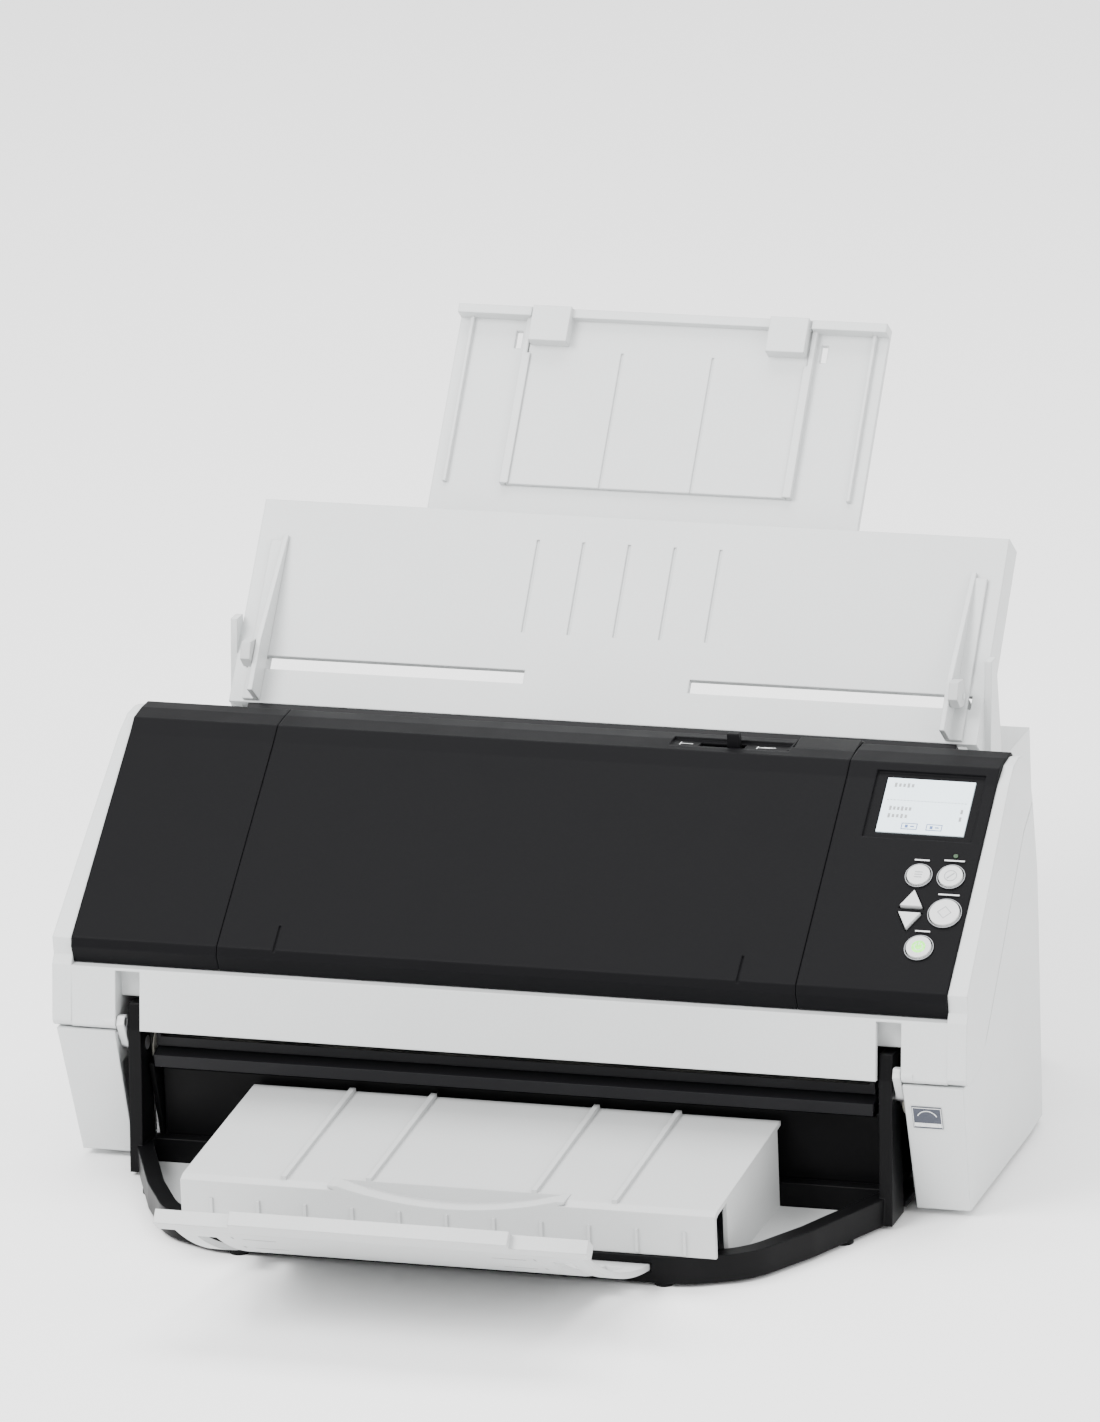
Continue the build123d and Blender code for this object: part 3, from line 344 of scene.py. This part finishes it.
def display_content():
    """Generic lines and two soft key boxes, with no characters."""
    centre = face_centre("lcd_window", OUT)
    rows = []
    for x, y, wide in ((-11.0, 10.0, 9.0), (-10.5, -1.5, 10.0), (15.5, -1.5, 1.6),
                       (-11.0, -5.2, 9.0), (15.5, -5.2, 1.6)):
        cells = max(1, int(wide / 1.6))
        for i in range(cells):
            at = x - wide / 2 + (i + 0.5) * wide / cells
            tall = 1.6 if i % 3 else 2.1
            rows.append(bar(at / 1000, y / 1000, 0.0010, tall / 1000))
    for i in range(24):
        rows.append(bar((-16.5 + i * 1.43) / 1000, 0.0026, 0.0008, 0.00025))
    marks("display_lines", centre, SLOPE_AXES, rows, GREY_PRINT, "feeder")
    keys = []
    for x in (-5.0, 5.5):
        for dx, dy, wide, tall in ((0, 1.4, 6.4, 0.3), (0, -1.4, 6.4, 0.3), (-3.2, 0, 0.3, 3.1),
                                   (3.2, 0, 0.3, 3.1), (-1.2, 0, 1.2, 1.4), (1.2, 0, 1.6, 0.5)):
            keys.append(bar((x + dx) / 1000, (-10.0 + dy) / 1000, wide / 1000, tall / 1000))
    marks("display_keys", centre, SLOPE_AXES, keys, BLUE_PRINT, "feeder")


def button_icons():
    ring = [arc_strip(0.0027, 0.00035, 0, 359.5)]
    slash = [(-0.0016, -0.0012), (-0.0012, -0.0016), (0.0016, 0.0012), (0.0012, 0.0016)]
    marks("stop_icon", face_centre("stop_button", OUT), SLOPE_AXES, ring + [slash], GREY_PRINT,
          "stop_button")
    lines = [bar(0, dy, 0.0032, 0.0004) for dy in (-0.0012, 0, 0.0012)]
    marks("menu_icon", face_centre("menu_button", OUT), SLOPE_AXES, lines, GREY_PRINT,
          "menu_button")
    size = 0.0030
    diamond = []
    for k in range(4):
        a, b = math.radians(90 * k), math.radians(90 * k + 90)
        tip = (math.cos(a) * size, math.sin(a) * size)
        following = (math.cos(b) * size, math.sin(b) * size)
        inner = 0.86
        diamond.append([tip, following, (following[0] * inner, following[1] * inner),
                        (tip[0] * inner, tip[1] * inner)])
    marks("scan_icon", face_centre("scan_button", OUT), SLOPE_AXES, diamond, GREY_PRINT,
          "scan_button")
    power = face_centre("power_button", OUT)
    steps = [math.tau * i / 40 for i in range(40)]
    disc = [(math.cos(a) * 0.0029, math.sin(a) * 0.0029) for a in steps]
    marks("power_glow", power, SLOPE_AXES, [disc], GREEN_GLOW, "power_button")
    symbol = [arc_strip(0.0019, 0.0004, 120, 420), bar(0, 0.0014, 0.0004, 0.0017)]
    marks("power_icon", power + OUT * PRINT, SLOPE_AXES, symbol, PALE_PRINT,
          "power_button")


KEY_CAPTIONS = (              # key, its radius, rise of the caption's rule, width of the rule
    ("menu_button", 0.0048, 0.0075, 0.0062),
    ("stop_button", 0.0050, 0.0078, 0.0085),
    ("scan_button", 0.0062, 0.0090, 0.0088),
    ("power_button", 0.0052, 0.0080, 0.0062),
)


def panel_captions():
    """Short blank rules where a caption would stand, and rings round the keys."""
    rules, rims = [], []
    base = face_centre("panel_cover", OUT)
    for node, radius, rise, wide in KEY_CAPTIONS:
        offset = face_centre(node, OUT) - base
        x, y = offset.dot(ACROSS), offset.dot(UP_SLOPE)
        rules.append(bar(x, y + rise, wide, 0.0006))
        rims.append([(x + u, y + v) for u, v in arc_strip(radius + 0.0009, 0.0003, 0, 359.5, 40)])
    marks("key_captions", base, SLOPE_AXES, rules, PALE_PRINT, "feeder")
    marks("key_rims", base, SLOPE_AXES, rims, GREY_PRINT, "feeder")


def leg_label():
    """A plain two-tone rating label on the front of the right leg."""
    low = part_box("right_side_panel")[0]
    lean = math.atan2(LEG_RUN, LEG_RISE)
    up = Vector((0, -math.sin(lean), math.cos(lean)))
    out = Vector((0, -math.cos(lean), -math.sin(lean)))
    front = Vector((0.1775, low[1] + 0.0040, 0.0469))
    axes = (ACROSS, up, out)
    marks("leg_label", front, axes, [bar(0, 0, 0.0125, 0.0105)], DARK_PRINT,
          "case", 0.00012)
    border = [bar(0, -0.0036, 0.0112, 0.0018), bar(0, 0.0046, 0.0115, 0.0003)]
    border += [bar(side * 0.0059, 0, 0.0003, 0.0095) for side in (-1, 1)]
    border.append([(u, v - 0.0012) for u, v in arc_strip(0.0046, 0.0004, 25, 155)])
    marks("label_border", front + out * 0.00012, axes, border, PALE_PRINT, "case")


def selector_marks():
    """One sheet and a stack of sheets, at the two ends of the selector's slot."""
    low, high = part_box("feed_selector")
    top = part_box("centre_top_cover")[1][2]
    y = (low[1] + high[1]) / 2 - 0.0002
    flat = (ACROSS, Vector((0, 1, 0)), Vector((0, 0, 1)))
    origin = Vector((0, y, top - 0.0012))
    sheets = []
    for x, count in ((0.0515, 1), (0.0845, 3)):
        for i in range(count):
            sheets.append(bar(x + 0.0012 * i, 0.0003 * i, 0.0050, 0.00035))
        sheets.append(bar(x - 0.0028, 0, 0.0004, 0.0030))
    marks("selector_marks", origin, flat, sheets, PALE_PRINT, "feeder")


def joint(name):
    return next(j for j in frame["joints"] if j["name"] == name)


def stacker_ticks():
    """Paper size ticks printed along the curved extension."""
    pivot = Vector(joint("stack_extension_turn")["pos_m"])
    for index, degrees in enumerate((19.0, 24.0, 29.0, 34.0)):
        a = math.radians(degrees)
        out = Vector((0, -math.sin(a), -math.cos(a)))
        along = Vector((0, -math.cos(a), math.sin(a)))
        centre = Vector((0, pivot.y, pivot.z)) + out * EXTENSION_FACE
        ticks = []
        for side in (-1, 1):
            ticks.append(bar(side * 0.052, 0, 0.014, 0.0006))
            ticks.append(bar(side * 0.063, 0.0012, 0.0008, 0.0030))
        marks("size_ticks_%d" % index, centre, (ACROSS, along, out), ticks, GREY_PRINT,
              "stack_extension")


# ---- surroundings ----
def add_floor():
    bpy.ops.mesh.primitive_plane_add(size=60)
    floor = bpy.context.object
    floor.name = "floor"
    floor.data.materials.append(floor_finish("floor_finish"))


def area_light(name, place, size, power, target=(0, 0, 0.12)):
    light = bpy.data.lights.new(name, "AREA")
    light.shape = "RECTANGLE"
    light.size, light.size_y = size
    light.energy = power
    lamp_object = bpy.data.objects.new(name, light)
    lamp_object.location = place
    lamp_object.rotation_euler = (Vector(place) - Vector(target)).to_track_quat("Z", "Y").to_euler()
    bpy.context.scene.collection.objects.link(lamp_object)


WORLD_LIGHT = 1.6
STUDIO = (                    # name, place, width and height in metres, power in watts
    ("key", (-1.3, -1.6, 2.2), (1.6, 1.2), 110),
    ("fill", (2.2, -1.2, 1.3), (1.4, 1.4), 30),
    ("top", (0.0, 0.7, 2.6), (2.4, 1.2), 70),
)


def add_light():
    world = bpy.data.worlds.new("studio")
    world.use_nodes = True
    world.node_tree.nodes["Background"].inputs["Color"].default_value = (1, 1, 1, 1)
    world.node_tree.nodes["Background"].inputs["Strength"].default_value = WORLD_LIGHT
    bpy.context.scene.world = world
    for name, place, size, power in STUDIO:
        area_light(name, place, size, power)


def add_camera():
    yaw, pitch, roll = CAMERA_YAW, CAMERA_PITCH, CAMERA_ROLL
    level = math.cos(pitch)
    forward = Vector((-math.sin(yaw) * level, math.cos(yaw) * level, -math.sin(pitch)))
    right = Vector((math.cos(yaw), math.sin(yaw), 0))
    down = forward.cross(right)
    turned_right = right * math.cos(roll) + down * math.sin(roll)
    turned_down = down * math.cos(roll) - right * math.sin(roll)
    axes = Matrix((turned_right, -turned_down, -forward)).transposed()
    data = bpy.data.cameras.new("camera")
    data.sensor_fit = "VERTICAL"
    data.sensor_height = 36.0
    data.lens = CAMERA_LENS
    data.clip_end = 100
    camera = bpy.data.objects.new("camera", data)
    camera.matrix_world = Matrix.Translation(CAMERA_AIM - forward * CAMERA_DISTANCE) @ axes.to_4x4()
    bpy.context.scene.collection.objects.link(camera)
    bpy.context.scene.camera = camera


paint_frame()
display_content()
button_icons()
panel_captions()
leg_label()
selector_marks()
stacker_ticks()
add_floor()
add_light()
add_camera()
